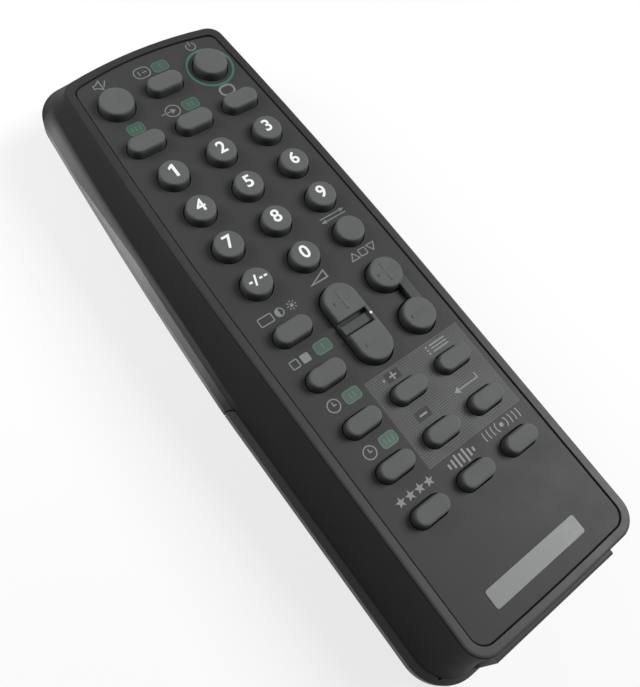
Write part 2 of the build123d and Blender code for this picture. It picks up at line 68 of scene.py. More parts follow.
# Colours as light that a surface gives back, 0 to 1
SHELL = (0.0420, 0.0420, 0.0425)
FACE = (0.0430, 0.0435, 0.0440)
KEY = (0.1080, 0.1140, 0.1115)
FOIL = (0.1700, 0.1830, 0.1790)
PANEL_BASE = (0.0660, 0.0670, 0.0680)
PANEL_INK = (0.1120, 0.1150, 0.1130)
WHITE_INK = (0.8400, 0.8600, 0.8500)
GREY_INK = (0.1800, 0.1890, 0.1850)
GREEN_INK = (0.0280, 0.1250, 0.0720)
DIM_GREEN_INK = (0.0300, 0.0540, 0.0430)
NICKEL = (0.6200, 0.6000, 0.5600)
ZINC = (0.5200, 0.5200, 0.5400)
CELL_SLEEVE = (0.0140, 0.0850, 0.0620)
WINDOW = (0.0130, 0.0050, 0.0060)
INFRARED_LAMP = (0.2000, 0.2200, 0.3000)
BOARD = (0.1600, 0.1000, 0.0300)
CHIP = (0.0150, 0.0150, 0.0160)
CERAMIC = (0.3500, 0.1200, 0.0200)
CAPACITOR_SLEEVE = (0.0120, 0.0200, 0.0600)
CARBON = (0.0120, 0.0120, 0.0120)
MAT = (0.0500, 0.0500, 0.0520)
PLAIN_WHITE = (1.0, 1.0, 1.0)

# Finish of the surfaces seen from outside
SHELL_FINISH = Finish(0.55, grain=0.35, depth=0.006, edge=0.2, level=0.02, cloud=0.05, cloud_size=10.0,
                      stray=0.04)
DOOR_FINISH = Finish(0.45, grain=0.35, depth=0.008, edge=0.2, level=0.18, cloud=0.05)
FACE_FINISH = Finish(0.46, grain=0.3, depth=0.006, edge=0.12, level=0.13, cloud=0.04, cloud_size=12.0,
                     stray=0.04, patch=6.0)
KEY_FINISH = Finish(0.6, grain=0.22, depth=0.004, edge=0.45, level=0.12, cloud=0.04, cloud_size=4.0)
WINDOW_FINISH = Finish(0.11, cloud=0.2, cloud_size=6.0, stray=0.03, patch=3.0)
INK_FINISH = Finish(0.5, grain=0.25, depth=0.003, cloud=0.05, cloud_size=1.5)

# Moulded materials by slot, with their names
MOULDED = {
    "door": ("door_plastic", SHELL, DOOR_FINISH),
    "window": ("infrared_plastic", WINDOW, WINDOW_FINISH),
    "lamp": ("lamp_epoxy", INFRARED_LAMP, Finish(0.08, grain=0.8, depth=0.002, cloud_size=2.0)),
    "board": ("board_laminate", BOARD, Finish(0.4, grain=0.5, depth=0.01, cloud_size=6.0)),
    "chip": ("chip_epoxy", CHIP, Finish(0.5, grain=0.2, depth=0.006)),
    "ceramic": ("resonator_ceramic", CERAMIC, Finish(0.25, grain=0.6, depth=0.004)),
    "sleeve": ("capacitor_sleeve", CAPACITOR_SLEEVE, Finish(0.3, grain=0.6, depth=0.002)),
    "carbon": ("carbon_ink", CARBON, Finish(0.7, grain=0.15, depth=0.006)),
    "mat": ("mat_rubber", MAT, Finish(0.7, grain=0.3, depth=0.006)),
}

# Fine lines of metal and foil
BRUSH_PITCH = 0.12
BRUSH_STRETCH = 0.04           # width of the lines as a share of their length
BRUSH_SHADE = 0.1              # share by which they are lighter or darker
BRUSH_STRAY = 0.07             # how far their roughness strays from its mean

# Share of specular reflection and roughness of the shell's smooth rim and lip
RIM_GLOSS = (0.30, 0.50)
LIP_GLOSS = (0.90, 0.33)

# Where the shell is smooth. The lip follows the underside, which is flat and then rises.
RIM_FROM_Z = 25.1
RIM_FADE = (-80.0, 60.0)       # stretch along the body where the rim gets as matt as the walls
LIP_TOP = (4.4, 6.8)           # heights above the underside between which the smooth lip fades
LIP_SIDE = (23.0, 26.0)        # distances from the middle between which it starts
LIP_START = (-8.0, 6.0)        # stretch along the body where it starts
LIP_END = (71.5, 77.5)         # stretch where it ends
BEND_Y = -1.5                  # where the underside starts to rise
RISE = 0.156                   # slope from there

# Sides of the keys with painted shade, darker towards the face
SHADE_START_DROP = 0.4               # below a key's top, where the painted shade starts
SHADE_DARKEST_DROP = 1.4               # where the painted shade is darkest
PAINTED_SHADE_SHARE = 0.4              # share of the unshaded colour that is left there

# Printed sleeve of a cell
BARE_END = 2.2                 # metal beyond it, with the cap
SLEEVE_SHADE = 0.2             # share by which its colour gets lighter and darker
SLEEVE_CLOUD = 4.0             # in clouds of this size
SLEEVE_METALLIC = 0.3
SLEEVE_FINISH = Finish(0.27, patch=2.0)

# Halftone panel round the four keys of the middle and right lower columns
PANEL_X = (-6.85, 20.3)
PANEL_Y = (-44.8, -22.5)
PANEL_PITCH = 0.56
PANEL_DOT = 0.2                # radius
PLUS_AT = (-0.15, -24.4)
MINUS_AT = (-0.2, -34.9)
PATCH_HALF = (1.9, 1.15)       # bare patches behind plus and minus
DOT_BY_PLUS = (-2.65, -24.4)
PLUS_HALF = 0.95
PLUS_LINE = 0.4
MINUS_HALF = 1.0
MINUS_LINE = 0.45

# Marks
FACE_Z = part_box("face_plate")[1].z / MM
INK_THICK = 0.03
LINE = 0.26
SHARPEST = 0.35                # a line's corners reach out no further than half its width over this
DOT = 0.3                      # radius
BAR_CORNER = 0.08
ARC_STEPS = 32
DOT_STEPS = 16
WAVE_STEPS = 10
CORNER_STEPS = 5
RING_STEPS = 72
DIGIT_SIZE = 4.45
DIGIT_BOLD = 0.09
DIGIT_AT = (0.15, 0.3)         # from the middle of a key's top
DIGIT_ONE = [(-0.1, -1.75), (0.65, -1.75), (0.65, 1.75), (0.05, 1.75), (-0.85, 1.15), (-0.85, 0.5),
             (-0.1, 0.9)]
DASHES_X = (-1.7, 0.9, 2.1)
DASH_HALF = 0.4
DASH_LINE = 0.5
SLASH = [(-0.9, -1.2), (0, 1.3)]
SLASH_LINE = 0.45
VOLUME_DOT_X = 3.65            # on the strip along the volume key's right side
WEB_DROP = 0.2                 # of that strip below the key's pads

# Places of the pictograms
MARK_AT = {
    "mute": (-13.1, 71.5),
    "power": (12.4, 71.9),
    "status": (-2.5, 70.3),
    "input": (-2.3, 57.2),
    "picture": (12.7, 56.4),
    "jump": (13.2, 14.25),
    "programme": (13.4, 3.0),
    "volume": (0.0, 2.2),
    "screen": (-15.6, 0.8),
    "contrast": (-12.0, 0.8),
    "sun": (-8.7, 0.8),
    "track": (-15.0, -10.8),
    "timer": (-15.1, -22.7),
    "sleep": (-15.0, -34.8),
    "list": (12.9, -24.4),
    "enter": (12.3, -34.9),
    "sound": (0.5, -46.8),
    "surround": (12.8, -46.4),
    "stars": (-16.2, -46.4),
}
STAR_COUNT = 4
STAR_PITCH = 2.55
STAR_SIZE = 1.25
STAR_POINTS = 5
STAR_WAIST = 0.42              # inner corners, as a share of the size
SUN_DOT = 0.45
SUN_RAYS = 8
RAY_REACH = (0.75, 1.2)
RAY_LINE = 0.25
LIST_ROWS = (-0.8, 0, 0.8)
SOUND_HEIGHTS = (1.2, 2.0, 3.0, 2.2, 3.2, 1.8, 1.0)
SOUND_PITCH = 1.15
SOUND_LINE = 0.5
WAVE_RADII = (1.6, 2.8, 4.0, 5.2)
WAVE_HALF = 1.1                # half the height of each wave

# Green tiles, with one to three strokes, and the ring round the power key
GREEN_AT = ((2.4, 70.1), (2.5, 57.0), (-12.5, 56.8), (-8.9, -10.7), (-10.4, -22.9), (-10.0, -34.8))
TILE = (4.2, 3.0)
TILE_FRAME = (4.0, 2.8)        # middle of the line round it
TILE_CORNER = 0.8
TILE_LINE = 0.25
STROKE_HEIGHT = 1.5
STROKE_PITCH = 1.0
STROKE_LINE = 0.4
RING_RADIUS = 5.7
RING_LINE = 0.6

# Raised plus and minus of the tilting keys
EMBOSS_HALF = 2.3
EMBOSS_RADIUS = 0.9
EMBOSS_PROUD = 0.14
EMBOSS_STEPS = 6
PAD_CENTRES = {"key_volume": 5.7, "key_programme": 6.0}    # along the body, from a key's middle

# Table, in metres
TABLE_HALF = 4.0
TABLE = (0.25, 0.25, 0.25)
TABLE_SEEN = (0.95, 0.95, 0.95)    # the same table as the camera sees it
TABLE_CLOUD = 60.0                 # millimetres
TABLE_SHADE = 0.01
TABLE_ROUGHNESS = 0.9
TABLE_GLOW = 0.75                  # share of the seen table that is plain white near the object
WHITE_FROM = 0.10                  # distance from which this share grows
WHITE_AT = 0.60                    # and from which all of the seen table is white

# Light of the room, and the square lamps: place, target and side in metres, power in watts
ROOM_LIGHT = 0.11
KEY_LAMP = {"place": (0.50, -0.14, 0.56), "target": (0, -0.02, 0), "size": 0.36, "power": 5.9}
SIDE_LAMP = {"place": (-0.13, 0.17, 0.15), "target": (-0.02, 0.06, 0.01), "size": 0.1, "power": 0.24}
LOW_LAMP = {"place": (-0.69, 0.367, 0.166), "target": (-0.028, 0.035, 0.01), "size": 0.3, "power": 1.2}

# Camera, fitted to the rows of keys
CAMERA_AT = (-69.66, -45.16, 170.06)
CAMERA_RIGHT = (0.7812, -0.5973, 0.1815)
CAMERA_UP = (0.4979, 0.7715, 0.3960)
FOCAL_PIXELS = 753.33
IMAGE_HEIGHT = 687
SENSOR = 36.0
NEAREST = 10.0
FURTHEST = 20000.0


def new_material(name):
    """Material with its node tree and main shader."""
    material = bpy.data.materials.new(name)
    material.use_nodes = True
    tree = material.node_tree
    return material, tree, tree.nodes["Principled BSDF"]


def feed(tree, socket, value):
    """Links an output to a socket, or sets a number or colour on it."""
    if isinstance(value, bpy.types.NodeSocket):
        tree.links.new(value, socket)
    elif isinstance(value, tuple):
        socket.default_value = (*value, 1.0)
    else:
        socket.default_value = value


def arithmetic(tree, operation, first, second=0.0):
    """Math node on two numbers or outputs."""
    node = tree.nodes.new("ShaderNodeMath")
    node.operation = operation
    feed(tree, node.inputs[0], first)
    feed(tree, node.inputs[1], second)
    return node.outputs[0]


def noise(tree, size, detail=3.0, roughness=0.6):
    """Noise with features of a given size in millimetres."""
    place = tree.nodes.new("ShaderNodeTexCoord")
    node = tree.nodes.new("ShaderNodeTexNoise")
    node.inputs["Scale"].default_value = 1.0 / (size * MM)
    node.inputs["Detail"].default_value = detail
    node.inputs["Roughness"].default_value = roughness
    tree.links.new(place.outputs["Object"], node.inputs["Vector"])
    return node.outputs["Fac"]


def spread(tree, value, low, high, source=NOISE_RANGE):
    """Value moved from its source range to one from low to high."""
    node = tree.nodes.new("ShaderNodeMapRange")
    node.inputs["From Min"].default_value = source[0]
    node.inputs["From Max"].default_value = source[1]
    node.inputs["To Min"].default_value = low
    node.inputs["To Max"].default_value = high
    tree.links.new(value, node.inputs["Value"])
    return node.outputs["Result"]


def rising(tree, coordinate, ends):
    """0 before a stretch in millimetres, 1 beyond it, and between them on it."""
    return spread(tree, coordinate, 0, 1, (ends[0] * MM, ends[1] * MM))


def falling(tree, coordinate, ends):
    """1 before a stretch in millimetres, 0 beyond it, and between them on it."""
    return spread(tree, coordinate, 1, 0, (ends[0] * MM, ends[1] * MM))


def blend_colours(tree, share, first, second):
    """Mix of two colours, each a colour or an output."""
    node = tree.nodes.new("ShaderNodeMix")
    node.data_type = "RGBA"
    tree.links.new(share, node.inputs["Factor"])
    feed(tree, node.inputs[6], first)
    feed(tree, node.inputs[7], second)
    return node.outputs[2]


def scaled(colour, factor):
    """Colour made lighter or darker."""
    return tuple(min(1.0, channel * factor) for channel in colour)


def shaded(tree, share, colour, shade):
    """Colour that gets lighter by a shade where share is 1, and darker where it is 0."""
    return blend_colours(tree, share, scaled(colour, 1 - shade), scaled(colour, 1 + shade))


def cloudy(tree, colour, shade, size):
    """Colour with lighter and darker clouds of a given size."""
    return shaded(tree, spread(tree, noise(tree, size), 0, 1), colour, shade)


def uneven(tree, finish):
    """Roughness that strays from its mean in patches."""
    patches = noise(tree, finish.patch)
    return spread(tree, patches, finish.roughness - finish.stray, finish.roughness + finish.stray)


def grain_bump(tree, shader, finish):
    """Fine grain as bump, over edges softened by a small radius."""
    bump = tree.nodes.new("ShaderNodeBump")
    bump.inputs["Distance"].default_value = finish.depth * MM
    tree.links.new(noise(tree, finish.grain, GRAIN_DETAIL), bump.inputs["Height"])
    if finish.edge:
        bevel = tree.nodes.new("ShaderNodeBevel")
        bevel.samples = EDGE_SAMPLES
        bevel.inputs["Radius"].default_value = finish.edge * MM
        tree.links.new(bevel.outputs["Normal"], bump.inputs["Normal"])
    tree.links.new(bump.outputs["Normal"], shader.inputs["Normal"])


def moulded(name, colour, finish):
    """Plastic, rubber, paint or ink: slightly cloudy colour, uneven gloss and fine grain."""
    material, tree, shader = new_material(name)
    feed(tree, shader.inputs["Base Color"], cloudy(tree, colour, finish.cloud, finish.cloud_size))
    feed(tree, shader.inputs["Roughness"], uneven(tree, finish))
    feed(tree, shader.inputs["Specular IOR Level"], finish.level)
    if finish.grain:
        grain_bump(tree, shader, finish)
    return material


def brushed(name, colour, roughness, along, metallic=1.0):
    """Metal, or metallic paint, with fine lines along X (0) or Y (1)."""
    material, tree, shader = new_material(name)
    place = tree.nodes.new("ShaderNodeTexCoord")
    mapping = tree.nodes.new("ShaderNodeMapping")
    mapping.inputs["Scale"].default_value[along] = BRUSH_STRETCH
    lines = tree.nodes.new("ShaderNodeTexNoise")
    lines.inputs["Scale"].default_value = 1.0 / (BRUSH_PITCH * MM)
    tree.links.new(place.outputs["Object"], mapping.inputs["Vector"])
    tree.links.new(mapping.outputs["Vector"], lines.inputs["Vector"])
    value = lines.outputs["Fac"]
    feed(tree, shader.inputs["Base Color"], shaded(tree, value, colour, BRUSH_SHADE))
    feed(tree, shader.inputs["Roughness"],
         spread(tree, value, roughness - BRUSH_STRAY, roughness + BRUSH_STRAY))
    feed(tree, shader.inputs["Metallic"], metallic)
    return material


def inside(tree, coordinate, centre, half):
    """1 where a coordinate is less than half from a centre, these two in millimetres."""
    away = arithmetic(tree, "ABSOLUTE", arithmetic(tree, "SUBTRACT", coordinate, centre * MM))
    return arithmetic(tree, "LESS_THAN", away, half * MM)


def both(tree, first, second):
    """1 where both masks are 1."""
    return arithmetic(tree, "MULTIPLY", first, second)


def coordinates(tree):
    """Place in the object, along X, Y and Z in metres."""
    place = tree.nodes.new("ShaderNodeTexCoord")
    parts = tree.nodes.new("ShaderNodeSeparateXYZ")
    tree.links.new(place.outputs["Object"], parts.inputs["Vector"])
    return parts.outputs


def distance(tree):
    """Distance from the origin in metres."""
    place = tree.nodes.new("ShaderNodeTexCoord")
    node = tree.nodes.new("ShaderNodeVectorMath")
    node.operation = "LENGTH"
    tree.links.new(place.outputs["Object"], node.inputs[0])
    return node.outputs["Value"]


def panel_mask(tree):
    """1 on the lighter panel, apart from the bare patches of plus and minus."""
    x, y, _ = coordinates(tree)
    mask = both(tree, inside(tree, x, sum(PANEL_X) / 2, (PANEL_X[1] - PANEL_X[0]) / 2),
                inside(tree, y, sum(PANEL_Y) / 2, (PANEL_Y[1] - PANEL_Y[0]) / 2))
    for centre_x, centre_y in (PLUS_AT, MINUS_AT):
        patch = both(tree, inside(tree, x, centre_x, PATCH_HALF[0]), inside(tree, y, centre_y, PATCH_HALF[1]))
        mask = both(tree, mask, arithmetic(tree, "SUBTRACT", 1.0, patch))
    return mask


def dot_mask(tree):
    """1 on fine dots in a square grid."""
    squares = []
    for coordinate in coordinates(tree)[:2]:
        share = arithmetic(tree, "FRACT", arithmetic(tree, "DIVIDE", coordinate, PANEL_PITCH * MM))
        squares.append(arithmetic(tree, "POWER", arithmetic(tree, "SUBTRACT", share, 0.5), 2.0))
    radius = PANEL_DOT / PANEL_PITCH
    return arithmetic(tree, "LESS_THAN", arithmetic(tree, "ADD", *squares), radius * radius)


def parts_of(material):
    """Node tree of a moulded material, its main shader and the colour that it has so far."""
    tree = material.node_tree
    shader = tree.nodes["Principled BSDF"]
    return tree, shader, shader.inputs["Base Color"].links[0].from_socket


def face_material():
    """Painted face plate with its panel of fine printed dots."""
    material = moulded("face_paint", FACE, FACE_FINISH)
    tree, shader, paint = parts_of(material)
    panel = blend_colours(tree, dot_mask(tree), PANEL_BASE, PANEL_INK)
    feed(tree, shader.inputs["Base Color"], blend_colours(tree, panel_mask(tree), paint, panel))
    return material


def key_material():
    """Grey rubber with painted shade, darker low on its sides."""
    material = moulded("key_rubber", KEY, KEY_FINISH)
    tree, shader, unshaded = parts_of(material)
    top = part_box("key_5")[1].z / MM
    # Painted shade: the key's sides get darker from just below its top down towards the face.
    share = rising(tree, coordinates(tree)[2], (top - SHADE_DARKEST_DROP, top - SHADE_START_DROP))
    feed(tree, shader.inputs["Base Color"], blend_colours(tree, share, scaled(KEY, PAINTED_SHADE_SHARE), unshaded))
    return material


def lip_mask(tree):
    """1 on the part of the lip that rises beyond the flat underside."""
    x, y, z = coordinates(tree)
    past_bend = arithmetic(tree, "MAXIMUM", arithmetic(tree, "SUBTRACT", y, BEND_Y * MM))
    above = arithmetic(tree, "SUBTRACT", z, arithmetic(tree, "MULTIPLY", past_bend, RISE))
    along = both(tree, rising(tree, y, LIP_START), falling(tree, y, LIP_END))
    across = both(tree, falling(tree, above, LIP_TOP),
                  rising(tree, arithmetic(tree, "ABSOLUTE", x), LIP_SIDE))
    return both(tree, along, across)


def rim_mask(tree):
    """1 on the rim at the near end, less towards the far end."""
    _, y, z = coordinates(tree)
    return both(tree, arithmetic(tree, "GREATER_THAN", z, RIM_FROM_Z * MM), falling(tree, y, RIM_FADE))


def add_where(tree, socket, mask, amount):
    """Adds an amount to what a socket has so far, where a mask is 1."""
    held = socket.links[0].from_socket if socket.is_linked else socket.default_value
    feed(tree, socket, arithmetic(tree, "ADD", arithmetic(tree, "MULTIPLY", mask, amount), held))


def shell_material():
    """Dark plastic with matt walls, a smooth rim and a smooth lip where the underside rises."""
    material = moulded("shell_plastic", SHELL, SHELL_FINISH)
    tree, shader, _ = parts_of(material)
    for mask, (level, roughness) in ((rim_mask(tree), RIM_GLOSS), (lip_mask(tree), LIP_GLOSS)):
        add_where(tree, shader.inputs["Specular IOR Level"], mask, level - SHELL_FINISH.level)
        add_where(tree, shader.inputs["Roughness"], mask, roughness - SHELL_FINISH.roughness)
    return material


def cell_material():
    """Plain printed sleeve with bare metal at both ends."""
    material, tree, shader = new_material("cell_sleeve")
    low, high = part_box("cell_left")
    middle, half = (low.y + high.y) / 2 / MM, (high.y - low.y) / 2 / MM
    sleeve = inside(tree, coordinates(tree)[1], middle, half - BARE_END)
    paint = shaded(tree, noise(tree, SLEEVE_CLOUD), CELL_SLEEVE, SLEEVE_SHADE)
    feed(tree, shader.inputs["Base Color"], blend_colours(tree, sleeve, NICKEL, paint))
    feed(tree, shader.inputs["Roughness"], uneven(tree, SLEEVE_FINISH))
    feed(tree, shader.inputs["Metallic"], spread(tree, sleeve, 1.0, SLEEVE_METALLIC, (0, 1)))
    return material


def paint_nodes():
    """Every node of the frame gets its material by the record's slot."""
    materials = {slot: moulded(*values) for slot, values in MOULDED.items()}
    materials.update({
        "shell": shell_material(),
        "face": face_material(),
        "key": key_material(),
        "cell": cell_material(),
        "foil": brushed("foil", FOIL, roughness=0.5, along=0, metallic=0.0),
        "contact": brushed("nickel", NICKEL, roughness=0.28, along=1),
        "screw": brushed("zinc", ZINC, roughness=0.35, along=1),
    })
    slots = {entry["node"]: entry["material_slot"] for entry in frame["record"]["subparts"]}
    # The door is of the shell's plastic, with a finish of its own
    slots["battery_door"] = "door"
    for name, node in frame["nodes"].items():
        node.data.materials.clear()
        node.data.materials.append(materials[slots[name]])
    return materials


def moved(place, points):
    """Points shifted to a place."""
    return [(place[0] + x, place[1] + y) for x, y in points]


def offsets(points, width, closed):
    """Left and right edges of a line of a given width through points."""
    count = len(points)
    left, right = [], []
    for index, point in enumerate(points):
        before = points[(index - 1) % count] if closed or index else point
        after = points[(index + 1) % count] if closed or index < count - 1 else point
        into = Vector((point[0] - before[0], point[1] - before[1]))
        out = Vector((after[0] - point[0], after[1] - point[1]))
        into = into.normalized() if into.length else out.normalized()
        out = out.normalized() if out.length else into
        along = (into + out).normalized()
        across = Vector((-along.y, along.x))
        reach = width / 2 / max(SHARPEST, across.dot(Vector((-into.y, into.x))))
        left.append((point[0] + across.x * reach, point[1] + across.y * reach))
        right.append((point[0] - across.x * reach, point[1] - across.y * reach))
    return left, right


def line(points, width=LINE, closed=False):
    """Closed outlines of a line."""
    left, right = offsets(points, width, closed)
    return [left, right] if closed else [left + right[::-1]]


def arc(centre, radius, start=0.0, end=360.0, squash=1.0, steps=ARC_STEPS):
    """Points along an arc, in degrees from +X."""
    closed = abs(end - start) >= 360
    count = steps if closed else steps + 1
    turns = [math.radians(start + (end - start) * index / steps) for index in range(count)]
    x, y = centre
    return [(x + radius * math.cos(turn), y + radius * squash * math.sin(turn)) for turn in turns]


def dot(centre, radius=DOT):
    """Points round a small dot."""
    return arc(centre, radius, steps=DOT_STEPS)


def rectangle(centre, width, height, round_by=0.5):
    """Points round a rectangle with rounded corners."""
    points = []
    for index, (side_x, side_y) in enumerate(((1, 1), (-1, 1), (-1, -1), (1, -1))):
        corner = (centre[0] + side_x * (width / 2 - round_by), centre[1] + side_y * (height / 2 - round_by))
        points += arc(corner, round_by, index * 90, index * 90 + 90, steps=CORNER_STEPS)
    return points


def star(centre, size):
    """Outline of a star."""
    points = []
    for index in range(2 * STAR_POINTS):
        reach = size if index % 2 == 0 else STAR_WAIST * size
        turn = index * math.pi / STAR_POINTS
        points.append((reach * math.sin(turn), reach * math.cos(turn)))
    return moved(centre, points)


def triangle(centre, half_width, half_height):
    """Outline of a triangle that points along +Y, or along -Y with a negative height."""
    return moved(centre, [(-half_width, -half_height), (half_width, -half_height), (0, half_height)])


def bars(centre, heights, step, width):
    """Row of upright bars round a centre."""
    first = -step * (len(heights) - 1) / 2
    places = moved(centre, [(first + index * step, 0) for index in range(len(heights))])
    return [rectangle(place, width, height, BAR_CORNER) for place, height in zip(places, heights)]


def print_mark(name, outlines, material, height, body="case"):
    """Flat printed mark from closed outlines, just above a surface at that height."""
    curve = bpy.data.curves.new(name, "CURVE")
    curve.dimensions = "2D"
    curve.fill_mode = "BOTH"
    curve.extrude = INK_THICK / 2 * MM
    for outline in outlines:
        spline = curve.splines.new("POLY")
        spline.points.add(len(outline) - 1)
        for point, place in zip(spline.points, outline):
            point.co = (place[0] * MM, place[1] * MM, 0.0, 1.0)
        spline.use_cyclic_u = True
    finish_mark(name, curve, material, Vector((0, 0, height * MM)), body)


def finish_mark(name, curve, material, place, body):
    """Mesh from a curve or text, in place and riding on its body."""
    source = bpy.data.objects.new(name + "_source", curve)
    bpy.context.scene.collection.objects.link(source)
    mesh = bpy.data.meshes.new_from_object(source.evaluated_get(bpy.context.evaluated_depsgraph_get()))
    bpy.data.objects.remove(source)
    mesh.name = name
    mesh.materials.clear()
    mesh.materials.append(material)
    mark = bpy.data.objects.new(name, mesh)
    mark.location = place
    bpy.context.scene.collection.objects.link(mark)
    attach(mark, body)
    return mark


def top_of(node):
    """Centre of a node seen from above, and its top, in millimetres."""
    low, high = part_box(node)
    return (low.x + high.x) / 2 / MM, (low.y + high.y) / 2 / MM, high.z / MM


def digit_place(node):
    """Where the middle of a key's digit goes, and the key's top."""
    x, y, z = top_of(node)
    return (x + DIGIT_AT[0], y + DIGIT_AT[1]), z


def make_digits(white):
    """Bold white digits on the round keys."""
    for digit in "234567890":
        node = "key_" + digit
        (x, y), z = digit_place(node)
        text = bpy.data.curves.new("digit_" + digit, "FONT")
        text.body = digit
        text.size = DIGIT_SIZE * MM
        text.offset = DIGIT_BOLD * MM
        text.extrude = INK_THICK / 2 * MM
        text.align_x = "CENTER"
        text.align_y = "CENTER"
        finish_mark("digit_" + digit, text, white, Vector((x, y, z)) * MM, node)
    place, z = digit_place("key_1")
    print_mark("digit_1", [moved(place, DIGIT_ONE)], white, z, "key_1")


def make_dashes(white):
    """Dash, slash and two dashes for entering two digits."""
    place, z = digit_place("key_two_digit")
    marks = []
    for x in DASHES_X:
        marks += line(moved(place, [(x - DASH_HALF, 0), (x + DASH_HALF, 0)]), DASH_LINE)
    marks += line(moved(place, SLASH), SLASH_LINE)
    print_mark("two_digit_mark", marks, white, z, "key_two_digit")


def drawn(name, points, width=LINE, closed=False):
    """Line through points about the place of a pictogram."""
    return line(moved(MARK_AT[name], points), width, closed)


def filled(name, points):
    """Filled shape about the place of a pictogram."""
    return [moved(MARK_AT[name], points)]


def upper_marks():
    """Pictograms round the two top rows."""
    speaker = [(-1.6, -0.5), (-0.9, -0.5), (0.2, -1.4), (0.2, 1.4), (-0.9, 0.5), (-1.6, 0.5)]
    return {
        "mute": drawn("mute", speaker, closed=True),
        "mute_cross": drawn("mute", [(0.6, -0.8), (1.7, 0.8)]),
        "power": line(arc(MARK_AT["power"], 1.2, 125, 415)),
        "power_bar": drawn("power", [(0, 0.2), (0, 1.7)]),
        "status": line(rectangle(MARK_AT["status"], 4.1, 3.1, 1.4), closed=True),
        "status_bar": drawn("status", [(-0.8, -0.7), (-0.8, 0.7)]),
        "status_dash": drawn("status", [(0.1, 0), (1.2, 0)]),
        "input": line(arc(MARK_AT["input"], 1.8, squash=0.92), closed=True),
        "input_arrow": drawn("input", [(-3.1, 0), (-0.3, 0)]),
        "input_head": filled("input", [(-0.4, -0.8), (0.8, 0), (-0.4, 0.8)]),
        "picture": line(rectangle(MARK_AT["picture"], 3.7, 2.8, 1.3), 0.5, closed=True),
    }


def sun():
    """Dot with rays."""
    centre = MARK_AT["sun"]
    outlines = [dot(centre, SUN_DOT)]
    for index in range(SUN_RAYS):
        turn = index * 2 * math.pi / SUN_RAYS
        ray = [(reach * math.cos(turn), reach * math.sin(turn)) for reach in RAY_REACH]
        outlines += line(moved(centre, ray), RAY_LINE)
    return outlines


def middle_marks():
    """Pictograms between the digits and the lower rows."""
    x, y = MARK_AT["programme"]
    track_x, track_y = MARK_AT["track"]
    return {
        "volume_wedge": drawn("volume", [(-2.0, 0), (2.4, 0), (2.4, 1.9)], 0.4, closed=True),
        "jump_out": drawn("jump", [(-3.4, 0.5), (2.4, 0.5)]),
        "jump_out_head": filled("jump", [(2.3, 0), (3.6, 0.5), (2.3, 1.0)]),
        "jump_back": drawn("jump", [(-2.4, -0.5), (3.4, -0.5)]),
        "jump_back_head": filled("jump", [(-2.3, 0), (-3.6, -0.5), (-2.3, -1.0)]),
        "programme_up": line(triangle((x - 2.6, y), 1.1, 0.9), closed=True),
        "programme_screen": line(rectangle((x, y), 1.9, 1.8, 0.3), closed=True),
        "programme_down": line(triangle((x + 2.6, y), 1.1, -0.9), closed=True),
        "screen": line(rectangle(MARK_AT["screen"], 3.4, 2.0, 0.3), closed=True),
        "contrast": line(arc(MARK_AT["contrast"], 1.0), closed=True),
        "contrast_half": [arc(MARK_AT["contrast"], 0.85, 90, 270)],
        "sun": sun(),
        "track_open": line(rectangle((track_x - 1.4, track_y), 1.9, 1.9, 0.3), closed=True),
        "track_full": [rectangle((track_x + 1.4, track_y), 2.1, 2.1, 0.3)],
    }


def list_mark():
    """Three rows, each a dot and a line."""
    x, y = MARK_AT["list"]
    outlines = []
    for row in LIST_ROWS:
        outlines += drawn("list", [(-1.7, row), (2.8, row)], 0.28)
        outlines.append(rectangle((x - 2.6, y + row), 0.5, 0.4, 0.1))
    return outlines


def waves():
    """Dot with sound waves to both sides."""
    centre = MARK_AT["surround"]
    outlines = [dot(centre, 0.5)]
    for radius in WAVE_RADII:
        reach = math.degrees(math.asin(WAVE_HALF / radius))
        for turn in (0, 180):
            outlines += line(arc(centre, radius, turn - reach, turn + reach, steps=WAVE_STEPS))
    return outlines


def lower_marks():
    """Pictograms of the three lower rows."""
    shapes = {}
    for name in ("timer", "sleep"):
        shapes[name] = line(arc(MARK_AT[name], 1.45), closed=True)
        shapes[name + "_hands"] = drawn(name, [(0, 0.9), (0, 0), (0.7, 0)])
    shapes["list"] = list_mark()
    shapes["enter"] = drawn("enter", [(3.4, 1.0), (3.4, -0.3), (-2.2, -0.3)])
    shapes["enter_head"] = filled("enter", [(-2.1, 0.5), (-3.5, -0.3), (-2.1, -1.1)])
    shapes["sound"] = bars(MARK_AT["sound"], SOUND_HEIGHTS, SOUND_PITCH, SOUND_LINE)
    shapes["surround"] = waves()
    places = moved(MARK_AT["stars"], [(STAR_PITCH * index, 0) for index in range(STAR_COUNT)])
    shapes["stars"] = [star(place, STAR_SIZE) for place in places]
    return shapes


def make_grey_marks(grey):
    """Grey pictograms on the face plate."""
    for shapes in (upper_marks(), middle_marks(), lower_marks()):
        for name, outlines in shapes.items():
            print_mark("mark_" + name, outlines, grey, FACE_Z)


def make_green_marks(green, dim_green):
    """Green tiles with small strokes, and the ring round the power key."""
    for index, place in enumerate(GREEN_AT):
        print_mark(f"green_tile_{index + 1}", [rectangle(place, *TILE, TILE_CORNER)], dim_green, FACE_Z)
        marks = bars(place, (STROKE_HEIGHT,) * (1 + index % 3), STROKE_PITCH, STROKE_LINE)
        marks += line(rectangle(place, *TILE_FRAME, TILE_CORNER), TILE_LINE, closed=True)
        print_mark(f"green_mark_{index + 1}", marks, green, FACE_Z + INK_THICK)
    x, y, _ = top_of("key_power")
    ring = line(arc((x, y), RING_RADIUS, steps=RING_STEPS), RING_LINE, closed=True)
    print_mark("power_ring", ring, green, FACE_Z)


